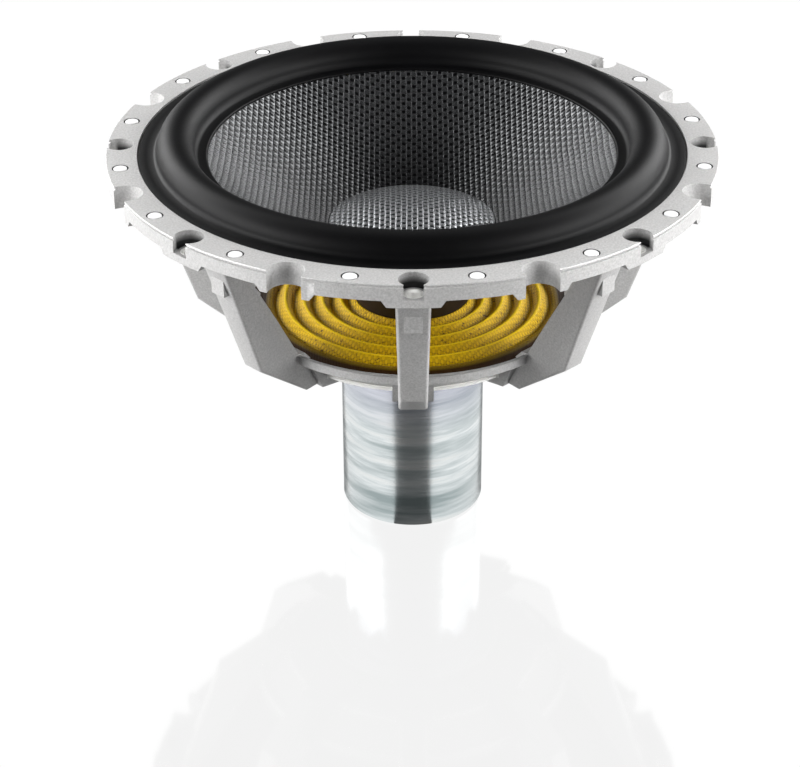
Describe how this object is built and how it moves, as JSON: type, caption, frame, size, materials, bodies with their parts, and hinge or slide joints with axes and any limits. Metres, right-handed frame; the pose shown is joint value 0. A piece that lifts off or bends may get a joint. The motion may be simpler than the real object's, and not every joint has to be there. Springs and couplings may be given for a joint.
{
  "type": "car subwoofer driver",
  "caption": "Bare subwoofer driver: slim turned motor, open cast basket with spokes, yellow spider, black roll surround and a woven cone that slides along its axis.",
  "frame": {"origin": "centre of the motor's flat base, which the driver stands on", "axes": "+Z along the driver's axis, from the motor base to the cone's open face; +X and -Y run over two of the eight spokes"},
  "size_m": [0.2092, 0.2092, 0.1471],
  "materials": {
    "cast_aluminium": "fine-grained die-cast aluminium, silver grey",
    "nickel": "bright nickel plate on neodymium",
    "rubber": "matt black moulded rubber",
    "woven_fibre": "black woven glass fibre in a satin resin",
    "former": "dark glass-fibre tube",
    "copper": "bare and enamelled copper",
    "aramid": "golden yellow woven aramid, resin dipped",
    "steel": "machined steel",
    "turned_steel": "turned and plated steel with fine lathe marks",
    "zinc": "zinc-plated steel",
    "black_plastic": "black glass-filled nylon",
    "gold_plate": "gold-plated brass"
  },
  "bodies": {
    "chassis": {"basket": "cast_aluminium", "grille_magnet_01": "nickel", "grille_magnet_02": "nickel", "grille_magnet_03": "nickel", "grille_magnet_04": "nickel", "grille_magnet_05": "nickel", "grille_magnet_06": "nickel", "grille_magnet_07": "nickel", "grille_magnet_08": "nickel", "grille_magnet_09": "nickel", "grille_magnet_10": "nickel", "grille_magnet_11": "nickel", "grille_magnet_12": "nickel", "grille_magnet_13": "nickel", "grille_magnet_14": "nickel", "grille_magnet_15": "nickel", "grille_magnet_16": "nickel", "surround": "rubber", "spider": "aramid", "front_plate": "steel", "pole_plate": "steel", "main_magnet": "nickel", "bucking_magnet": "nickel", "shorting_ring": "copper", "yoke": "turned_steel", "pole_clamp_screw": "zinc", "motor_screw_1": "zinc", "motor_screw_2": "zinc", "motor_screw_3": "zinc", "motor_screw_4": "zinc", "terminal_board": "black_plastic", "terminal_positive": "gold_plate", "terminal_negative": "gold_plate", "terminal_rivet_positive": "zinc", "terminal_rivet_negative": "zinc"},
    "moving_assembly": {"cone": "woven_fibre", "dust_cap": "woven_fibre", "voice_coil_former": "former", "voice_coil_winding": "copper"}
  },
  "joints": [
    {"name": "cone_stroke", "type": "slide", "parent": "chassis", "child": "moving_assembly", "axis": [0, 0, 1], "range_m": [-0.007, 0.007], "stiffness_N_per_m": 2500, "deforming": ["spider", "surround"]}
  ]
}
